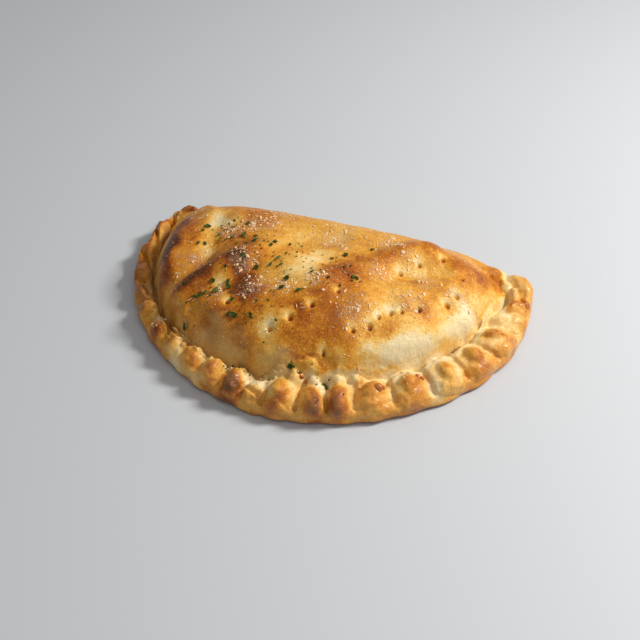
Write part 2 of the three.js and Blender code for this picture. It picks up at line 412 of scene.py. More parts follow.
# dents and creases left by the fingers: distance along the crimp and inset of both ends, half
# width and depth, in mm
dents = (
    dict(ends=((25, 16.8), (27, 16.6)), width=2.0, depth=1.6),      # the pocket behind the right tip
    dict(ends=((29, 17.4), (36, 18.2)), width=2.2, depth=2.4),
    dict(ends=((26, 11.0), (33, 8.6)), width=1.0, depth=2.0),       # crease of the curled end
    dict(ends=((33, 8.6), (42, 4.0)), width=1.0, depth=1.8),
    dict(ends=((42, 4.0), (50, 2.0)), width=1.1, depth=1.2),
    dict(ends=((68, 25.5), (73, 25.5)), width=2.6, depth=3.2),      # gaps under the pinches' inner ends
    dict(ends=((91, 24.0), (95, 23.5)), width=2.2, depth=2.4),
    dict(ends=((106, 22.8), (112, 22.4)), width=2.4, depth=3.4),
    dict(ends=((138, 21.8), (144, 21.5)), width=2.2, depth=2.6),
    dict(ends=((165, 20.0), (169, 14.0)), width=1.8, depth=1.4),
    dict(ends=((188, 15.0), (189, 5.0)), width=1.3, depth=1.4),
    dict(ends=((203, 24.0), (212, 25.0)), width=2.6, depth=2.4),    # hollow in front
    dict(ends=((205.5, 17.0), (204, 3.0)), width=1.4, depth=2.4),   # grooves in front
    dict(ends=((221, 17.0), (221.5, 4.0)), width=1.5, depth=2.2),
    dict(ends=((239, 9.0), (234, 3.8)), width=1.0, depth=1.6),      # wrap of one pinch
    dict(ends=((234, 3.8), (226, 2.2)), width=1.0, depth=1.4),
    dict(ends=((251, 6.4), (244, 4.6)), width=1.2, depth=2.2),      # under the torn layer
    dict(ends=((244, 4.6), (236, 3.4)), width=1.2, depth=1.8),
    dict(ends=((253, 8.0), (258, 3.4)), width=0.8, depth=1.3),      # folds beside the darkest pinch
    dict(ends=((255.5, 10.0), (262, 2.6)), width=0.8, depth=1.0),
    dict(ends=((269, 12.0), (269.5, 5.0)), width=1.4, depth=1.6),
    dict(ends=((285, 12.0), (286, 4.0)), width=1.4, depth=1.6),
    dict(ends=((336, 9.5), (343, 2.0)), width=1.7, depth=4.4),      # between the flat left lobes
    dict(ends=((356, 9.5), (363, 1.0)), width=1.7, depth=4.2),
    dict(ends=((366, 9.0), (373, 8.0)), width=3.0, depth=3.6),
    dict(ends=((378, 8.0), (384, 1.5)), width=1.5, depth=3.4),
    dict(ends=((398, 10.0), (409, 1.5)), width=1.7, depth=4.2),
    dict(ends=((422, 10.0), (434, 1.5)), width=1.7, depth=4.2),
    dict(ends=((446, 9.5), (461, 1.0)), width=1.7, depth=3.8),
)

# ridges and hollows of the dome over its lumpy filling: ends in mm, half width and height
ridges = (
    dict(ends=((-96, 38), (-90, -2)), width=6, height=2.2),
    dict(ends=((-74, 42), (-68, 0)), width=7, height=-2.6),
    dict(ends=((-66, -2), (-82, -18)), width=7, height=-2.0),
    dict(ends=((-32, 18), (-48, -6)), width=8, height=3.0),
    dict(ends=((-48, -6), (-70, -23)), width=7, height=3.4),
    dict(ends=((-34, -2), (-60, -26)), width=5, height=-2.6),
    dict(ends=((-58, -28), (-38, -38)), width=6, height=2.0),
    dict(ends=((-24, -36), (-10, -26)), width=8, height=1.4),
    dict(ends=((-67, -38), (-51, -47)), width=3.8, height=5.2),     # flap behind the left pinches
    dict(ends=((-60, -33), (-43, -43)), width=2.4, height=-2.4),
    dict(ends=((-22, 30), (4, 40)), width=10, height=-2.2),
    dict(ends=((-12, 6), (12, -12)), width=12, height=2.0),
    dict(ends=((12, -2), (56, 50)), width=8, height=2.6),
    dict(ends=((26, 36), (40, 50)), width=7, height=-1.4),
    dict(ends=((46, 19), (68, 33)), width=7, height=-3.2),
    dict(ends=((66, 44), (92, 44)), width=8, height=1.8),
    dict(ends=((74, 6), (84, 30)), width=9, height=1.6),
    dict(ends=((34, -12), (30, -32)), width=8, height=1.6),
    dict(ends=((44, 6), (50, -10)), width=6, height=-1.0),
)


def copyOfSolid():
    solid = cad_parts["calzone_dough"]
    crust = solid.copy()
    crust.data = solid.data.copy()
    crust.parent = None
    for key in list(crust.keys()):
        del crust[key]
    crust.name = "crust"
    bpy.context.scene.collection.objects.link(crust)
    pick(crust)
    bpy.ops.object.mode_set(mode="EDIT")
    bpy.ops.mesh.select_all(action="SELECT")
    bpy.ops.mesh.remove_doubles(threshold=0.01 * mm)
    bpy.ops.object.mode_set(mode="OBJECT")
    return crust


# a straight roll of dough of radius 1 with round ends, from x 0 to 1
def modelRoll():
    deselect()
    bpy.ops.mesh.primitive_cylinder_add(vertices=24, radius=1.0, depth=1.0, location=(0.5, 0, 0),
                                        rotation=(0, math.pi / 2, 0))
    roll = bpy.context.object
    pick(roll)
    bpy.ops.object.transform_apply(location=True, rotation=True, scale=True)
    return roll


# the head of a pinch, of radius 1 and modelled once: round, and drawn out and down a little at
# its outer end; y points inwards here
def modelPinch():
    deselect()
    bpy.ops.mesh.primitive_uv_sphere_add(segments=20, ring_count=12, radius=1.0)
    pinch = bpy.context.object
    selectFaces(pinch, lambda centre, normal: normal.y < -0.5 and centre.z < 0.4)
    bpy.ops.mesh.extrude_region_move(TRANSFORM_OT_translate={"value": (0, -0.18, -0.22)})
    bpy.ops.transform.resize(value=(0.94, 0.9, 0.9))
    bpy.ops.object.mode_set(mode="OBJECT")
    applyModifier(pinch, "SMOOTH", factor=0.5, iterations=3)
    return pinch


# a bulge of the crimp's outer side, of radius 1: a ball drawn in a little towards both ends
def modelBulge():
    deselect()
    bpy.ops.mesh.primitive_uv_sphere_add(segments=20, ring_count=12, radius=1.0)
    bulge = bpy.context.object
    selectFaces(bulge, lambda centre, normal: abs(centre.x) > 0.6)
    bpy.ops.transform.resize(value=(1.06, 0.8, 0.8))
    bpy.ops.object.mode_set(mode="OBJECT")
    return bulge


def rollSizeAt(along):
    return [np.interp(along, crimp["along"], crimp[size]) for size in ("width", "height")]


def shapeRoll(roll, halfWidth, halfHeight):
    points = vertexArray(roll)
    width, height = rollSizeAt(points[:, 0] / mm)
    across = signedPower(np.clip(points[:, 1] / halfWidth, -1, 1), 2 / crimp["roundness"])
    up = signedPower(np.clip(points[:, 2] / halfHeight, -1, 1), 2 / crimp["roundness"])
    slope = 1 - crimp["outerSlope"] * smoothStep(-across, -0.4, 1.0) * (up > 0)
    points[:, 1] = (across + 1) * width / 2 * mm
    points[:, 2] = (up * slope + 1) * height / 2 * mm
    putVertices(roll, points)


def ball(centre, size, turn=0.0):
    return (Matrix.Translation(Vector(centre) * mm) @ Matrix.Rotation(turn, 4, "Z")
            @ Matrix.Diagonal((*(value * mm for value in size), 1)))


def modelCrimp():
    halfWidth, halfHeight = 12 * mm, 8 * mm
    roll = modelRoll()
    over = crimp["overrun"] * mm
    roll.data.transform(Matrix.Translation((-over, 0, 0))
                        @ Matrix.Diagonal((crimpLength + 2 * over, halfWidth, halfHeight, 1.0)))
    applyModifier(roll, "REMESH", mode="VOXEL", voxel_size=1.2 * mm)
    shapeRoll(roll, halfWidth, halfHeight)

    head = modelPinch()
    bulge = modelBulge()
    parts = [roll]
    uneven = random.Random(3)
    for before, pinch, after in zip((dict(along=26),) + pinches[:-1], pinches,
                                    pinches[1:] + (dict(along=crimpLength / mm + 4),)):
        width, height = rollSizeAt(pinch["along"])
        lobe = (after["along"] - before["along"]) / 2
        lean = math.atan2(pinch["swing"], 12)
        size = (pinch["half"], pinch["reach"], (pinch["half"] + pinch["reach"]) / 2)
        parts.append(stamp(head, ball((pinch["along"], pinch["inset"], pinch["top"] - size[2]), size,
                                      -lean + uneven.uniform(-0.12, 0.12))))
        size = (lobe * crimp["moundWidth"], width * crimp["moundLength"], crimp["moundRound"])
        drop = np.interp(pinch["along"], crimp["along"], crimp["moundDrop"]) * uneven.uniform(0.8, 1.25)
        parts.append(stamp(bulge, ball((pinch["along"], width * 0.47, pinch["top"] - drop - size[2]), size,
                                       -0.5 * lean)))
        height = 0.5 + 0.5 * height / 12.5
        outwards = crimp["bulgeRound"] * uneven.uniform(0.92, 1.1)
        size = (lobe * crimp["bulgeWidth"], outwards, crimp["bulgeRound"] * height * uneven.uniform(0.95, 1.1))
        middle = pinch["along"] - pinch["swing"] * (pinch["inset"] - 6) / 12
        parts.append(stamp(bulge, ball((middle - 0.4 * pinch["swing"], outwards + uneven.uniform(-0.8, 0.3),
                                        crimp["bulgeHeight"] * height), size, -lean)))
    for extra in extras:
        spot = (extra["along"], extra["inset"], extra["top"] - extra["size"][2])
        parts.append(stamp(bulge, ball(spot, extra["size"], extra["turn"])))
    bpy.data.objects.remove(head)
    bpy.data.objects.remove(bulge)
    rope = joinAll(parts, "crimp")
    applyModifier(rope, "REMESH", mode="VOXEL", voxel_size=crimp["voxel"])
    applyModifier(rope, "SMOOTH", factor=0.5, iterations=crimp["smooth"])
    pressCreases(rope)
    wrinkle(rope)
    points = vertexArray(rope)
    points[:, 1] = np.where(points[:, 1] < 0, points[:, 1] * 0.35, points[:, 1])
    beyond = np.maximum(-points[:, 0], points[:, 0] - crimpLength)
    points[:, 2] = np.maximum(points[:, 2], 0) * (1 - 0.5 * smoothStep(beyond, -3 * mm, 12 * mm))
    putVertices(rope, bendRound(points))
    return rope


# presses a crease between each pinch and the next
def pressCreases(rope):
    points = vertexArray(rope)
    normals = normalArray(rope)
    along, inset = points[:, 0] / mm, points[:, 1] / mm
    press = np.zeros(len(points))
    for one, other in zip(pinches[:-1], pinches[1:]):
        reach = (one["inset"] + other["inset"]) / 2
        lean = (one["swing"] + other["swing"]) / 2 * (reach - inset) / 12
        away = (along - (one["along"] + other["along"]) / 2 + lean) / crimp["creaseWidth"]
        fade = smoothStep(inset, 0, 4) * (1 - smoothStep(inset, reach + 3, reach + 9))
        press = np.maximum(press, np.exp(-away ** 2) * fade)
    press *= smoothStep(points[:, 2], 2 * mm, 6 * mm)
    putVertices(rope, points - normals * (press * crimp["creaseDepth"] * mm)[:, None])


# small lumps and wrinkles, drawn out along the crimp
def wrinkle(rope):
    points = vertexArray(rope)
    normals = normalArray(rope)
    places = points / (np.array(crimp["wrinkleSize"]) * mm)
    lumps = np.array([noise.noise(Vector(place)) + 0.5 * noise.noise(Vector(place) * 2.1) for place in places])
    lumps *= smoothStep(points[:, 2], 1 * mm, 5 * mm)
    putVertices(rope, points + normals * (lumps * crimp["wrinkleDepth"] * mm)[:, None])


def cloudy(name, size, depth):
    texture = bpy.data.textures.new(name, "CLOUDS")
    texture.noise_scale = size
    texture.noise_depth = depth
    return texture


# how strongly each point feels a ridge: 1 along its line, falling off to the sides
def ridgePull(points, ends, width):
    start, end = (np.array(point) * mm for point in ends)
    line = end - start
    part = np.clip(((points[:, :2] - start) @ line) / (line @ line), 0, 1)
    away = np.hypot(*(points[:, :2] - start - part[:, None] * line).T)
    return np.exp(-(away / (width * mm)) ** 2)


# sinks the solid's own crimp, and lets the left flank of the dome stand further out over the
# thin end of the crimp
def shapeDome(crust):
    points = vertexArray(crust)
    along, inset = crimpMeasure(points)
    along /= mm
    inset /= mm
    width = rollSizeAt(along)[0]
    here = (along > 0) & (along < crimpLength / mm)
    outwards = bendRound(np.column_stack([along, inset - 1, inset * 0]) * mm)
    outwards -= bendRound(np.column_stack([along, inset, inset * 0]) * mm)
    spread = dough["leftSpread"] * smoothStep(along, 250, 330) * here
    spread *= smoothStep(inset, 12, 19) * (1 - smoothStep(inset, 24, 60))
    points += outwards * spread[:, None]
    onRim = (1 - smoothStep(inset, 0.72 * width, 0.86 * width)) * here
    points[:, 2] *= 1 - onRim * (1 - dough["rimSink"])
    putVertices(crust, points)


def raiseRidges(crust):
    points = vertexArray(crust)
    lift = np.zeros(len(points))
    for ridge in ridges:
        lift += ridgePull(points, ridge["ends"], ridge["width"]) * ridge["height"] * mm
    lift *= smoothStep(points[:, 2], 9 * mm, 18 * mm)
    putVertices(crust, points + normalArray(crust) * lift[:, None])


# holes pricked through the top against bursting: place in mm, radius and depth
# short rows of holes pricked before baking: where a row starts and how it steps on, in mm
prickRows = dict(
    rows=(
        dict(start=(84, 19), step=(-6, -9), holes=2, radius=1.5, depth=2.2),
        dict(start=(65, -3), step=(-6, -5), holes=4, radius=1.4, depth=2.0),
        dict(start=(44, -27), step=(-9, -5), holes=2, radius=1.7, depth=2.0),
        dict(start=(30, 1), step=(-9, -13), holes=2, radius=1.3, depth=1.7),
        dict(start=(8, -24), step=(-9, -9), holes=3, radius=1.7, depth=2.3),
        dict(start=(67, 42), step=(-10, -9), holes=3, radius=1.4, depth=1.7),
        dict(start=(22, -44), step=(0, 0), holes=1, radius=1.3, depth=1.8),
        dict(start=(-38, -32), step=(0, 0), holes=1, radius=1.5, depth=1.2),
    ),
    wobble=0.9, uneven=0.2,
    seed=5,
)


def pricked():
    chance = random.Random(prickRows["seed"])
    holes = []
    for row in prickRows["rows"]:
        for hole in range(row["holes"]):
            spot = [row["start"][axis] + hole * row["step"][axis] + chance.gauss(0, prickRows["wobble"])
                    for axis in (0, 1)]
            share = 1 + chance.uniform(-prickRows["uneven"], prickRows["uneven"])
            holes.append(dict(spot=spot, radius=row["radius"] * share, depth=row["depth"] * share))
    return holes


pricks = pricked()


def pressPricks(crust):
    points = vertexArray(crust)
    press = np.zeros(len(points))
    for prick in pricks:
        away = np.hypot(points[:, 0] / mm - prick["spot"][0], points[:, 1] / mm - prick["spot"][1])
        away /= prick["radius"]
        press += prick["depth"] * (0.95 * np.exp(-away ** 4) + 0.25 * np.exp(-(away / 2.4) ** 2))
    points[:, 2] -= press * smoothStep(points[:, 2], 15 * mm, 18 * mm) * mm
    putVertices(crust, points)


# presses the valley between crimp and dome, and the dents
def pressValley(crust):
    points = vertexArray(crust)
    straight = np.stack(crimpMeasure(points), 1)
    along, inset = straight.T / mm
    waver = np.array([noise.noise(Vector((a / valley["waverSize"], 0.3, 0))) for a in along])
    middle, depth = [np.interp(along, valley["along"], valley[name]) for name in ("inset", "depth")]
    away = (inset - middle - waver * valley["waver"]) / valley["width"]
    here = (along > 1) & (along < crimpLength / mm - 1)
    press = np.exp(-away ** 2) * depth * here
    slit = np.interp(along, valley["slitAlong"], valley["slit"])
    press += np.exp(-(away * valley["width"] / valley["slitWidth"]) ** 2) * slit * here
    for dent in dents:
        press += ridgePull(straight, dent["ends"], dent["width"]) * dent["depth"] * here
    torn = np.interp(along, valley["tornAlong"], valley["torn"]) * here
    torn *= smoothStep(inset - middle, -8, -4) * (1 - smoothStep(inset - middle, -1.5, 1.5))
    rough = np.array([noise.noise(Vector(point) / (valley["tornSize"] * mm)) for point in points])
    points[:, 2] += torn * (rough + 0.25) * mm
    points[:, 2] -= press * smoothStep(points[:, 2], 3 * mm, 8 * mm) * mm
    putVertices(crust, points)


# cuts the underside flat, as it lay on the baking stone
def cutUnderside(crust):
    selectFaces(crust, lambda centre, normal: True)
    bpy.ops.mesh.bisect(plane_co=(0, 0, dough["cutHeight"]), plane_no=(0, 0, 1), use_fill=True, clear_inner=True)
    bpy.ops.object.mode_set(mode="OBJECT")
    points = vertexArray(crust)
    points[:, 2] -= dough["cutHeight"]
    putVertices(crust, points)


# a vertex group whose weight grows from 0 to 1 between two heights
def heightGroup(piece, name, start, end):
    group = piece.vertex_groups.new(name=name)
    for index, weight in enumerate(smoothStep(vertexArray(piece)[:, 2], start, end)):
        if weight > 0:
            group.add([index], float(weight), "REPLACE")


def makeCrust():
    crust = copyOfSolid()
    voxel = dough["voxel"]
    applyModifier(crust, "REMESH", mode="VOXEL", voxel_size=1.2 * mm)
    shapeDome(crust)
    applyModifier(crust, "SMOOTH", factor=0.5, iterations=dough["domeSmooth"])
    raiseRidges(crust)
    crust = joinAll([crust, modelCrimp()], "crust")
    applyModifier(crust, "REMESH", mode="VOXEL", voxel_size=voxel)
    pressValley(crust)
    applyModifier(crust, "SMOOTH", factor=0.5, iterations=dough["finishSmooth"])
    cutUnderside(crust)

    heightGroup(crust, "upperSide", 2 * mm, 6 * mm)
    heightGroup(crust, "domeSide", 15 * mm, 21 * mm)
    applyModifier(crust, "SMOOTH", factor=0.5, iterations=dough["flankSmooth"], vertex_group="domeSide")
    applyModifier(crust, "DISPLACE", texture=cloudy("doughUneven", dough["unevenSize"], 1),
                  texture_coords="LOCAL", strength=dough["unevenDepth"], mid_level=0.5,
                  vertex_group="upperSide")
    applyModifier(crust, "DISPLACE", texture=cloudy("doughBlisters", dough["blisterSize"], 2),
                  texture_coords="LOCAL", strength=dough["blisterDepth"], mid_level=0.5,
                  vertex_group="upperSide")
    pressPricks(crust)
    crust.data.calc_loop_triangles()
    share = dough["triangles"] / len(crust.data.loop_triangles)
    if share < 1:
        applyModifier(crust, "DECIMATE", ratio=share)
    pick(crust)
    bpy.ops.object.shade_smooth()
    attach(crust, "root")
    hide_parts("calzone_dough")
    crust.data.calc_loop_triangles()
    print("crust modelled:", len(crust.data.loop_triangles), "triangles")
    return crust


# where the oven browned the dome and where it stayed pale, with painted shade added on the shaded left shoulder: ends
# in mm, width, and how much browner (or, below 0, paler) the dough is there
bakes = (
    # browned crest of the left shoulder, made darker still as painted shade on its shaded side
    dict(ends=((-98, 44), (-93, 8)), width=5, brown=0.52),          # left shoulder
    dict(ends=((-93, 10), (-88, -8)), width=6, brown=0.48),
    dict(ends=((-76, 42), (-67, 38)), width=5, brown=-0.46),
    dict(ends=((-90, 36), (-82, 22)), width=7, brown=0.30),
    dict(ends=((-76, 42), (-72, 14)), width=7, brown=-0.20),
    dict(ends=((-37, 12), (-45, 0)), width=9, brown=0.20),         # slanting ridge
    dict(ends=((-49, -5), (-69, -20)), width=8, brown=0.54),
    dict(ends=((-44, -12), (-56, -24)), width=4, brown=-0.10),
    dict(ends=((-54, -30), (-42, -38)), width=8, brown=0.10),
    dict(ends=((-34, -49), (-26, -52)), width=5, brown=-0.25),
    dict(ends=((-24, -36), (-12, -26)), width=8, brown=0.12),
    dict(ends=((-8, -24), (6, -20)), width=9, brown=0.06),         # crown
    dict(ends=((12, 4), (25, 2)), width=9, brown=0.26),
    dict(ends=((13, -20), (29, -27)), width=11, brown=0.26),
    dict(ends=((4, -40), (27, -39)), width=8, brown=0.20),
    dict(ends=((20, 12), (58, 52)), width=8, brown=0.26),           # ridge to the back
    dict(ends=((-20, 28), (4, 40)), width=12, brown=-0.16),
    dict(ends=((54, 27), (71, 35)), width=6, brown=-0.34),          # hollow on the right
    dict(ends=((46, 17), (51, 21)), width=5, brown=-0.15),
    dict(ends=((72, 42), (92, 46)), width=9, brown=0.30),
    dict(ends=((86, 30), (78, 18)), width=8, brown=0.16),
    dict(ends=((58, 8), (52, -8)), width=7, brown=-0.10),
    dict(ends=((71, -1), (76, -6)), width=7, brown=0.26),
    dict(ends=((44, -26), (54, -20)), width=8, brown=0.15),
    dict(ends=((26, -51), (38, -49)), width=5, brown=-0.20),         # foot of the dome, to the right
    dict(ends=((36, -44), (66, -26)), width=8, brown=-0.50),
    dict(ends=((66, -24), (92, 8)), width=10, brown=-0.48),
    dict(ends=((92, 8), (98, 22)), width=8, brown=-0.24),
    dict(ends=((98, 22), (104, 44)), width=7, brown=-0.14),
    dict(ends=((97, 68), (103, 50)), width=6, brown=0.22),
    dict(ends=((-60, 64), (-44, 44)), width=12, brown=0.20),
    dict(ends=((-60, 24), (-48, 22)), width=8, brown=0.22),
    dict(ends=((-36, -12), (-28, -24)), width=7, brown=0.44),
    dict(ends=((-54, -8), (-46, -16)), width=5, brown=-0.24),
    dict(ends=((-44, -36), (-22, -46)), width=8, brown=0.24),
    dict(ends=((-10, 18), (2, 32)), width=7, brown=0.22),
    dict(ends=((22, -2), (31, -12)), width=8, brown=0.12),
    dict(ends=((38, -40), (44, -48)), width=6, brown=0.40),
    dict(ends=((-76, 8), (-66, -4)), width=7, brown=0.28),
    dict(ends=((-6, 0), (0, 18)), width=9, brown=-0.36),
    dict(ends=((74, 30), (84, 26)), width=7, brown=-0.14),
    dict(ends=((52, 20), (60, 18)), width=6, brown=0.14),
    dict(ends=((80, 12), (84, 8)), width=6, brown=0.14),
    dict(ends=((0, -30), (10, -31)), width=5, brown=0.18),
    dict(ends=((48, -28), (52, -32)), width=5, brown=0.15),
    dict(ends=((-86, 38), (-80, 30)), width=5, brown=0.08),
    dict(ends=((-51, -15), (-49, -16)), width=3.5, brown=-0.34),
    dict(ends=((-43, -9), (-41, -12)), width=3.5, brown=-0.16),
    dict(ends=((-72, 7), (-68, 12)), width=4, brown=-0.28),
    dict(ends=((-58, 44), (-52, 38)), width=6, brown=0.14),
    dict(ends=((-62, 6), (-58, -2)), width=4, brown=0.16),
    dict(ends=((-42, 2), (-38, -12)), width=4, brown=0.20),
    dict(ends=((-22, -20), (-34, -20)), width=4, brown=0.18),
    dict(ends=((-60, -48), (-58, -50)), width=4, brown=0.20),
    dict(ends=((96, 20), (102, 20)), width=4, brown=0.24),
    dict(ends=((56, 0), (64, -2)), width=4, brown=0.08),
    dict(ends=((-2, -10), (6, 8)), width=4, brown=-0.16),
    dict(ends=((-8, -38), (-14, -42)), width=4, brown=-0.18),
    dict(ends=((48, 0), (48, -20)), width=3.5, brown=-0.12),
    dict(ends=((60, 0), (70, -10)), width=5, brown=0.22),
    dict(ends=((-99, 14), (-95, 34)), width=6, brown=-0.12),
    dict(ends=((-60, -47), (-58, -52)), width=3.5, brown=0.24),
    dict(ends=((10, 0), (20, -10)), width=5, brown=0.12),
    dict(ends=((0, -29), (2, -31)), width=4, brown=0.14),
    dict(ends=((-20, 40), (-32, 40)), width=5, brown=-0.10),
    dict(ends=((50, 20), (60, 18)), width=4, brown=0.12),
    dict(ends=((-12, 12), (10, 10)), width=4, brown=-0.08),
    dict(ends=((56, -20), (62, -20)), width=4, brown=0.18),
    dict(ends=((-58, 12), (-40, 2)), width=7, brown=0.14),
    dict(ends=((-62, -20), (-48, -24)), width=6, brown=0.16),
    dict(ends=((-70, -37), (-54, -47)), width=4, brown=0.16),
    dict(ends=((66, 32), (72, 30)), width=5, brown=0.28),
    dict(ends=((-14, -40), (-8, -48)), width=7, brown=-0.14),
)

# browned or pale places of the crimp itself, with painted shade in the hollow in front
rimBakes = (
    dict(ends=((113, 58), (120, 49)), width=2.2, brown=0.34),       # crease of the curled end
    dict(ends=((118, 68), (122, 56)), width=4.0, brown=0.08),
    dict(ends=((104, -24), (124, 36)), width=3.6, brown=0.15),      # browner outer side on the right
    dict(ends=((60, -57), (100, -30)), width=3.6, brown=0.10),
    dict(ends=((106, 46), (110, 34)), width=6.0, brown=-0.16),
    dict(ends=((-50, -56), (-34, -58)), width=4.0, brown=-0.24),    # the torn lip
    dict(ends=((-9, -66), (2, -68)), width=4.0, brown=-0.30),       # the torn layer in front
    dict(ends=((62, -36), (84, -16)), width=5.0, brown=-0.12),
    dict(ends=((-92, -24), (-84, -34)), width=6.0, brown=-0.28),    # paler outer side on the left
    dict(ends=((-64, -58), (-38, -68)), width=6.0, brown=-0.42),
    dict(ends=((-26, -66), (4, -62)), width=5.0, brown=-0.14),
    dict(ends=((24, -56), (34, -60)), width=6.0, brown=-0.16),
    dict(ends=((86, -34), (94, -26)), width=6.0, brown=-0.36),
    # painted shade: the hollow in front is painted browner
    dict(ends=((11, -47), (20, -47)), width=4.0, brown=0.05),       # the hollow in front
    dict(ends=((-20, -54), (-10, -56)), width=3.5, brown=0.06),
)

# places painted greyer, partly oil and steam stains and partly painted shade on the shaded left and front flanks: ends
# in mm, width and strength
greaseAndShadePlaces = (
    dict(ends=((-46, -44), (-26, -51)), width=6, amount=0.9),
    dict(ends=((-60, -48), (-50, -52)), width=4, amount=0.6),
    dict(ends=((-106, 18), (-98, -20)), width=7, amount=0.5),
    dict(ends=((-74, 42), (-66, 38)), width=6, amount=0.5),
    dict(ends=((-12, -54), (8, -54)), width=4, amount=0.5),
)

bake = dict(
    dome=0.46, flank=0.40, fold=0.50, underside=0.62,
    saddle=0.20, outerRim=0.36, rimFoot=0.24, innerPale=0.10,
    # painted shade: browning along the bottom of the valley between crimp and dome, more on the left
    patches=0.85, leftRim=0.12, pinched=0.95, bulge=0.20, valleyShade=0.16, leftValleyShade=0.18,
    warpSize=11, warpDepth=5,           # the edges of the patches wander by this much, in mm
)


# where the grated cheese fell thickest: place in mm, how far it spread, number of grains
heaps = (
    dict(spot=(-62, 30), spread=10, grains=22), dict(spot=(-50, 38), spread=11, grains=40),
    dict(spot=(-38, 42), spread=9, grains=28), dict(spot=(-40, 0), spread=8, grains=34),
    dict(spot=(-26, -17), spread=10, grains=34), dict(spot=(-10, -15), spread=8, grains=30),
    dict(spot=(6, -8), spread=8, grains=30), dict(spot=(2, 40), spread=16, grains=44),
    dict(spot=(34, 44), spread=12, grains=36), dict(spot=(50, 34), spread=6, grains=12),
    dict(spot=(38, 14), spread=11, grains=26), dict(spot=(34, -20), spread=13, grains=34),
    dict(spot=(60, 0), spread=12, grains=26), dict(spot=(64, 22), spread=12, grains=24),
    dict(spot=(86, 18), spread=12, grains=20), dict(spot=(-33, 56), spread=12, grains=24),
    dict(spot=(-48, -24), spread=9, grains=16), dict(spot=(-74, 4), spread=12, grains=16),
    dict(spot=(-81, -34), spread=4, grains=10),
)


def warped(points):
    return points + bake["warpDepth"] * mm * np.array(
        [noise.noise_vector(Vector(point) / (bake["warpSize"] * mm)) for point in points])


def floatAttribute(piece, name, values):
    attribute = piece.data.attributes.new(name, "FLOAT", "POINT")
    attribute.data.foreach_set("value", np.ascontiguousarray(values, dtype=np.float32))


def bakeCrust(crust):
    points = vertexArray(crust)
    normals = normalArray(crust)
    wandering = warped(points)
    height = points[:, 2] / mm
    along, inset = crimpMeasure(wandering)
    along /= mm
    inset /= mm
    width = rollSizeAt(along)[0]
    onCrimp = (1 - smoothStep(inset, 0.80 * width, 1.0 * width)) * (along > 0) * (along < crimpLength / mm)
    onCrimp *= 1 - smoothStep(height, 18, 24)

    facing = smoothStep(normals[:, 2], 0.15, 0.9)
    brown = bake["flank"] + (bake["dome"] - bake["flank"]) * facing
    for patch in bakes:
        brown += bake["patches"] * patch["brown"] * ridgePull(wandering, patch["ends"], patch["width"])
    fold = smoothStep(points[:, 1], high.y - 20 * mm, high.y - 4 * mm)
    brown += (bake["fold"] - brown) * fold * 0.7

    rim = bake["saddle"] + (bake["outerRim"] - bake["saddle"]) * (1 - smoothStep(inset, 1, 8))
    rim -= bake["innerPale"] * smoothStep(inset, 0.40 * width, 0.62 * width)
    for pinch in pinches:
        sideways = (along - pinch["along"] + pinch["swing"] * (pinch["inset"] - inset) / 12) / (0.88 * pinch["half"])
        outer = (along - pinch["along"] + 0.5 * pinch["swing"]) / (0.75 * pinch["half"])
        rim += bake["bulge"] * pinch["brown"] * np.exp(-outer ** 2 - ((inset - 2.0) / 4.0) ** 2)
        lengthways = (inset - pinch["inset"] + 1.0) / (0.92 * pinch["reach"])
        rim += bake["pinched"] * pinch["brown"] * np.exp(-(sideways ** 2 + lengthways ** 2) ** 1.3)
    rim += bake["rimFoot"] * (1 - smoothStep(height, 1, 6)) + bake["leftRim"] * smoothStep(along, 250, 330)
    brown = brown * (1 - onCrimp) + rim * onCrimp
    # painted shade: the bottom of the valley between crimp and dome is painted browner, more so on the left
    middle = np.interp(along, valley["along"], valley["inset"])
    valleyShade = bake["valleyShade"] + bake["leftValleyShade"] * smoothStep(along, 300, 350)
    brown += valleyShade * np.exp(-((inset - middle) / 1.3) ** 2) * (along > 30) * (along < crimpLength / mm - 4)
    for patch in rimBakes:
        brown += patch["brown"] * ridgePull(wandering, patch["ends"], patch["width"])
    brown += (bake["underside"] - brown) * smoothStep(-normals[:, 2], 0.3, 0.8)
    for prick in pricks:
        away = np.hypot(points[:, 0] / mm - prick["spot"][0] + 1.5, points[:, 1] / mm - prick["spot"][1] - 1.5)
        brown -= 0.36 * np.exp(-(away / (2.2 * prick["radius"])) ** 2)
        # painted shade: the middle of each pricked hole is painted darker
        away = np.hypot(points[:, 0] / mm - prick["spot"][0], points[:, 1] / mm - prick["spot"][1])
        brown += 0.5 * np.exp(-(away / (0.8 * prick["radius"])) ** 4)
    floatAttribute(crust, "brown", np.clip(brown, 0, 1.2))
    dusting = np.zeros(len(points))
    for heap in heaps:
        away = np.hypot(*(wandering[:, :2] / mm - heap["spot"]).T)
        dusting = np.maximum(dusting, np.exp(-(away / (1.15 * heap["spread"])) ** 2))
    # grease and painted shade: the valley between crimp and dome is painted greyer from the front-left round to the
    # left tip
    greasy = 0.7 * np.exp(-((inset - middle) / 3.0) ** 2) * smoothStep(along, 215, 245) * (along < crimpLength / mm)
    for place in greaseAndShadePlaces:
        greasy += place["amount"] * ridgePull(wandering, place["ends"], place["width"])
    floatAttribute(crust, "greasy", np.clip(greasy, 0, 1))
    floatAttribute(crust, "dusting", dusting * (points[:, 2] > 12 * mm))
    rosy = 1 - 0.8 * smoothStep(along, 270, 330)
    floatAttribute(crust, "rim", onCrimp * rosy * (1 - smoothStep(inset, 0.45 * width, 0.75 * width)))
    print("crust baked: mean", round(float(brown.mean()), 2))


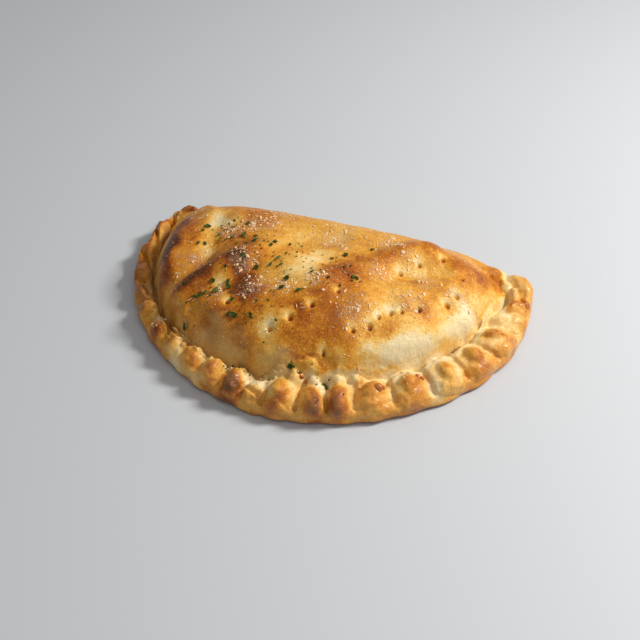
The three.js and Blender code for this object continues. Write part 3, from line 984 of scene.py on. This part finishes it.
crumb = dict(
    # colour of the crust from unbrowned to almost burnt
    stops=(
        (0.00, (0.78, 0.645, 0.385, 1)), (0.16, (0.78, 0.55, 0.215, 1)), (0.34, (0.72, 0.388, 0.066, 1)),
        (0.52, (0.59, 0.238, 0.018, 1)), (0.68, (0.40, 0.115, 0.005, 1)), (0.84, (0.22, 0.048, 0.003, 1)),
        (1.00, (0.08, 0.018, 0.002, 1)),
    ),
    dusted=(0.82, 0.56, 0.36, 1),
    rosy=(0.62, 0.28, 0.10, 1),
    # greyish olive for grease stains and painted shade
    greasy=(0.52, 0.37, 0.16, 1),
    patchSize=10 * mm, patchAmount=0.34,
    mottleSize=3.0 * mm, mottleAmount=0.42,
    grainSize=1.0 * mm, grainAmount=0.56,
    grainRelief=0.30 * mm, poreSize=0.5 * mm, poreRelief=0.14 * mm,
)


def crustMaterial():
    material, shader, place = newMaterial("bakedCrust", IOR=1.45, Specular_IOR_Level=0.40,
                                          Specular_Tint=(1.0, 0.84, 0.62, 1), Coat_Roughness=0.18, Coat_IOR=1.4,
                                          Subsurface_Weight=0.05, Subsurface_Scale=1.6 * mm,
                                          Subsurface_Radius=(1.0, 0.45, 0.15))
    brown = place.node("ShaderNodeAttribute", {"attribute_name": "brown"}, output=2)
    dusting = place.node("ShaderNodeAttribute", {"attribute_name": "dusting"}, output=2)
    rim = place.node("ShaderNodeAttribute", {"attribute_name": "rim"}, output=2)
    greasy = place.node("ShaderNodeAttribute", {"attribute_name": "greasy"}, output=2)
    patch = place.noise(crumb["patchSize"], 4, 0.55) - 0.5
    mottle = place.noise(crumb["mottleSize"], 4, 0.65) - 0.5
    grain = place.noise(crumb["grainSize"], 3, 0.6) - 0.5
    pores = place.noise(crumb["poreSize"], 2, 0.5)
    level = (brown + patch * crumb["patchAmount"] + mottle * crumb["mottleAmount"]
             + grain * crumb["grainAmount"])
    colour = level.node("ShaderNodeValToRGB", {"stops": crumb["stops"]}, {0: level})
    flour = (dusting * 0.45 + grain * 1.6 + mottle * 0.9).step(0.34, 0.66)
    colour = (flour * 0.5).mix(colour, crumb["dusted"])
    colour = (rim * (0.5 + patch * 1.5) * 0.4).mix(colour, crumb["rosy"])
    # the colour turns greyish olive where grease stains and painted shade are marked
    colour = (greasy * (0.55 + mottle * 1.2)).mix(colour, crumb["greasy"])
    feed(colour, shader, "Base Color")
    feed(0.37 + mottle * 0.5 + flour * 0.2 - rim * 0.08, shader, "Roughness")
    feed((rim * 0.7 + patch + mottle + grain).step(0.4, 1.0) * 0.5, shader, "Coat Weight")
    relief = grain * crumb["grainRelief"] + pores * crumb["poreRelief"] + flour * (0.2 * mm)
    bump = place.node("ShaderNodeBump", {}, {"Height": relief, "Distance": 1.0, "Strength": 1.0})
    feed(bump, shader, "Normal")
    return material


# strewn things rest on the crust: finds the place under x and y, turned to lie on the surface
class Resting:
    def __init__(self, crust):
        self.tree = BVHTree.FromObject(crust, bpy.context.evaluated_depsgraph_get())

    def at(self, spot, size, turn, tilt=0.0, lift=0.0):
        hit, normal, face, far = self.tree.ray_cast(Vector((spot[0] * mm, spot[1] * mm, 0.1)), Vector((0, 0, -1)))
        if hit is None or hit.z < 4 * mm or normal.z < 0.25:
            return None
        lie = normal.to_track_quat("Z", "Y").to_matrix().to_4x4()
        stretch = Matrix.Diagonal((*(value * mm for value in size), 1))
        return (Matrix.Translation(hit + normal * lift * mm) @ lie @ Matrix.Rotation(turn, 4, "Z")
                @ Matrix.Rotation(tilt, 4, "X") @ stretch)


def strew(patterns, places, name, material, smooth=False):
    copies = [stamp(pattern, place) for pattern, place in zip(patterns, places) if place is not None]
    for pattern in set(patterns):
        bpy.data.objects.remove(pattern)
    piece = joinAll(copies, name)
    if smooth:
        bpy.ops.object.shade_smooth_by_angle(angle=math.radians(50))
    piece.data.materials.clear()
    piece.data.materials.append(material)
    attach(piece, "root")
    piece.data.calc_loop_triangles()
    print(name, "strewn:", len(copies), "of", len(places), "pieces,", len(piece.data.loop_triangles), "triangles")
    return piece


parsley = dict(
    # drifts of flakes: middle and spread along x and y in mm, and how many flakes of each size
    drifts=(
        dict(middle=(-66, 28), spread=(9, 9), large=2, middling=8, small=30),
        dict(middle=(-42, 8), spread=(12, 9), large=3, middling=8, small=32),
        dict(middle=(-8, 8), spread=(13, 12), large=4, middling=7, small=34),
        dict(middle=(-46, -18), spread=(12, 8), large=5, middling=8, small=34),
        dict(middle=(-20, -35), spread=(11, 6), large=2, middling=5, small=20),
        dict(middle=(22, 6), spread=(8, 8), large=1, middling=4, small=8),
        dict(middle=(24, -53), spread=(10, 3), large=2, middling=4, small=12),
        dict(middle=(-20, -56), spread=(12, 3), large=2, middling=3, small=10),
        dict(middle=(-72, -42), spread=(12, 8), large=1, middling=2, small=5),
    ),
    largeSize=5.0, middlingSize=3.2, smallSize=1.5,
    seed=11,
)


# a chopped leaf of radius 1, modelled once for each kind: a fan with its edge drawn in between
# the lobes, folded along its middle, then thickened
def modelLeaf(lobes, cut, stretch, fold):
    torn = random.Random(lobes)
    deselect()
    bpy.ops.mesh.primitive_circle_add(vertices=lobes * 4, radius=1.0, fill_type="TRIFAN")
    leaf = bpy.context.object
    pick(leaf)
    for vertex in leaf.data.vertices:
        away = vertex.co.length
        part = math.atan2(vertex.co.y, vertex.co.x) / (2 * math.pi) * lobes
        vertex.select = away > 0.5 and abs(part - round(part)) > 0.4
    bpy.ops.object.mode_set(mode="EDIT")
    bpy.ops.mesh.select_mode(type="VERT")
    bpy.ops.transform.resize(value=(cut, cut, 1))
    bpy.ops.mesh.select_all(action="SELECT")
    bpy.ops.transform.resize(value=(1.0, stretch, 1.0))
    bpy.ops.object.mode_set(mode="OBJECT")
    points = vertexArray(leaf)
    points[:, :2] *= np.array([[torn.uniform(0.72, 1.25)] for _ in points])
    points[:, 2] = fold * np.abs(points[:, 1]) + 0.25 * fold * points[:, 0] ** 2
    putVertices(leaf, points)
    applyModifier(leaf, "SOLIDIFY", thickness=0.13, offset=0.0)
    return leaf


def leafMaterial():
    material, shader, place = newMaterial("driedParsley", IOR=1.4, Specular_IOR_Level=0.4)
    tone = place.noise(3.5 * mm, 3)
    vein = place.noise(0.7 * mm, 2)
    colour = (tone * 0.7 + vein * 0.3).step(0.34, 0.66).mix((0.014, 0.028, 0.003, 1), (0.078, 0.120, 0.010, 1))
    feed(colour, shader, "Base Color")
    feed(0.45 + vein * 0.3, shader, "Roughness")
    feed(place.node("ShaderNodeBump", {}, {"Height": vein * (0.2 * mm), "Distance": 1.0, "Strength": 1.0}),
         shader, "Normal")
    return material


def strewParsley(resting):
    chance = random.Random(parsley["seed"])
    kinds = [modelLeaf(3, 0.32, 0.62, 0.5), modelLeaf(5, 0.42, 0.75, 0.4), modelLeaf(2, 0.5, 0.35, 0.7),
             modelLeaf(4, 0.36, 0.5, 0.6)]
    spots = []
    for drift in parsley["drifts"]:
        for size in ("large", "middling", "small"):
            for _ in range(drift[size]):
                spot = [chance.gauss(drift["middle"][axis], drift["spread"][axis]) for axis in (0, 1)]
                spots.append((spot, parsley[size + "Size"]))
    patterns, places = [], []
    for spot, size in spots:
        size *= chance.uniform(0.75, 1.25)
        patterns.append(chance.choice(kinds))
        places.append(resting.at(spot, (size, size, size), chance.uniform(0, 2 * math.pi),
                                 chance.uniform(-0.25, 0.25), 0.25 + 0.10 * size))
    return strew(patterns, places, "parsley", leafMaterial())


cheese = dict(
    # the fine dust is partly real cheese dust and partly bright specks that stand in for painted glints on the crust
    grainSize=0.66, scattered=210, dustAndGlints=700, dustAndGlintSize=0.33,
    shreds=((-82, -37), (-80, -34), (-84, -33), (-33, 1), (-45, 51), (-33, 58), (38, 19), (44, 41), (-88, 44),
            (-60, -29), (45, -44), (72, -34), (-40, 49), (4, -26)),
    shredSize=1.5,
    seed=23,
)


# a crumb of grated cheese of radius 1: a ball of few faces, one side drawn out, then
# squashed
def modelGrain(draw, squash):
    deselect()
    bpy.ops.mesh.primitive_ico_sphere_add(subdivisions=1, radius=1.0)
    grain = bpy.context.object
    selectFaces(grain, lambda centre, normal: normal.x > 0.6)
    bpy.ops.mesh.extrude_region_move(TRANSFORM_OT_translate={"value": draw})
    bpy.ops.transform.resize(value=(0.7, 0.7, 0.8))
    bpy.ops.mesh.select_all(action="SELECT")
    bpy.ops.transform.resize(value=squash)
    bpy.ops.object.mode_set(mode="OBJECT")
    return grain


# a shred of radius 1 and about 4 long: a bar drawn out twice, turning as it goes
def modelShred():
    deselect()
    bpy.ops.mesh.primitive_cylinder_add(vertices=6, radius=0.42, depth=1.2, rotation=(0, math.pi / 2, 0))
    shred = bpy.context.object
    pick(shred)
    bpy.ops.object.transform_apply(location=True, rotation=True, scale=True)
    for turn in (1, 2):
        selectFaces(shred, lambda centre, normal: normal.x > 0.6)
        bpy.ops.mesh.extrude_region_move(TRANSFORM_OT_translate={"value": (0.7, 0.25 * turn, 0.05)})
        bpy.ops.transform.resize(value=(1.0, 0.85, 0.85))
    bpy.ops.object.mode_set(mode="OBJECT")
    applyModifier(shred, "SMOOTH", factor=0.3, iterations=1)
    return shred


def cheeseMaterial():
    material, shader, place = newMaterial("gratedCheese", IOR=1.45, Specular_IOR_Level=0.4,
                                          Subsurface_Weight=0.25, Subsurface_Scale=1.0 * mm,
                                          Subsurface_Radius=(1.0, 0.7, 0.4))
    toasted = place.noise(4 * mm, 3).step(0.42, 0.72)
    grain = place.noise(0.6 * mm, 2)
    colour = toasted.mix((0.76, 0.56, 0.35, 1), (0.70, 0.37, 0.16, 1))
    feed(colour, shader, "Base Color")
    feed(0.35 + grain * 0.3, shader, "Roughness")
    feed(place.node("ShaderNodeBump", {}, {"Height": grain * (0.15 * mm), "Distance": 1.0, "Strength": 1.0}),
         shader, "Normal")
    return material


def strewCheese(resting):
    chance = random.Random(cheese["seed"])
    grains = [modelGrain((0.5, 0.1, 0), (1.0, 0.8, 0.7)), modelGrain((0.9, -0.2, 0.1), (0.9, 0.7, 0.6)),
              modelGrain((0.2, 0.3, 0), (0.9, 1.0, 0.75))]
    shred = modelShred()
    patterns, places = [], []

    def drop(pattern, spot, size, sink):
        grown = [size * chance.uniform(low, low + 0.6) for low in (0.8, 0.6, 0.35)]
        patterns.append(pattern)
        places.append(resting.at(spot, grown, chance.uniform(0, 2 * math.pi), chance.uniform(-0.5, 0.5), sink * size))

    for heap in heaps:
        for _ in range(2 * heap["grains"]):
            spot = [middle + chance.gauss(0, 0.50 * heap["spread"]) for middle in heap["spot"]]
            size = cheese["grainSize"] * (0.4 + 1.5 * chance.random() ** 3)
            drop(chance.choice(grains), spot, size, 0.1)
    # scattered grains, then fine dust whose bright specks also stand in for painted glints
    for count, size in ((cheese["scattered"], cheese["grainSize"] * 0.7), (cheese["dustAndGlints"], cheese["dustAndGlintSize"])):
        for _ in range(count):
            spot = chance.uniform(-108, 104), chance.uniform(-52, 72)
            if (spot[0] / 112) ** 2 + (min(0, spot[1]) / 58) ** 2 < 1:
                drop(chance.choice(grains), spot, size * chance.uniform(0.5, 1.5), 0.1)
    for x, y in cheese["shreds"]:
        for _ in range(3):
            drop(shred, (x + chance.gauss(0, 2), y + chance.gauss(0, 2)), cheese["shredSize"] * chance.uniform(0.4, 0.8), 0.3)
    return strew(patterns, places, "gratedCheese", cheeseMaterial(), smooth=True)


juice = dict(
    # baked-on drops of the filling's juice: place in mm, radius
    drops=(((57, -49), 2.3), ((59, -47), 1.3), ((75, -33), 1.9), ((77.5, -32), 1.3), ((14, -54), 1.7),
           ((17, -55), 1.3), ((12, -54), 1.0), ((84, 31), 0.9)),
    seed=5,
)


# a drop of radius 1: a ball pressed flat below, its foot spread
def modelDrop():
    deselect()
    bpy.ops.mesh.primitive_uv_sphere_add(segments=16, ring_count=10, radius=1.0)
    drop = bpy.context.object
    selectFaces(drop, lambda centre, normal: centre.z < -0.1)
    bpy.ops.transform.resize(value=(1.2, 1.15, 0.35))
    bpy.ops.mesh.select_all(action="SELECT")
    bpy.ops.transform.resize(value=(1.0, 1.0, 0.62))
    bpy.ops.object.mode_set(mode="OBJECT")
    applyModifier(drop, "DISPLACE", texture=cloudy("dropUneven", 0.6, 1), texture_coords="LOCAL",
                  strength=0.35, mid_level=0.5)
    return drop


def juiceMaterial():
    material, shader, place = newMaterial("bakedJuice", IOR=1.45, Coat_Weight=0.6, Coat_Roughness=0.08)
    thick = place.noise(2.2 * mm, 3)
    colour = thick.step(0.40, 0.62).mix((0.30, 0.050, 0.006, 1), (0.56, 0.19, 0.020, 1))
    feed(colour, shader, "Base Color")
    feed(0.2 + thick * 0.3, shader, "Roughness")
    return material


def strewJuice(resting):
    chance = random.Random(juice["seed"])
    drop = modelDrop()
    places = [resting.at(spot, (size, size * chance.uniform(0.75, 1), size), chance.uniform(0, 6), 0.0, 0.15 * size)
              for spot, size in juice["drops"]]
    return strew([drop] * len(places), places, "bakedJuice", juiceMaterial(), smooth=True)


addCamera()
addStudio()
crust = makeCrust()
bakeCrust(crust)
crust.data.materials.clear()
crust.data.materials.append(crustMaterial())
resting = Resting(crust)
strewParsley(resting)
strewCheese(resting)
strewJuice(resting)
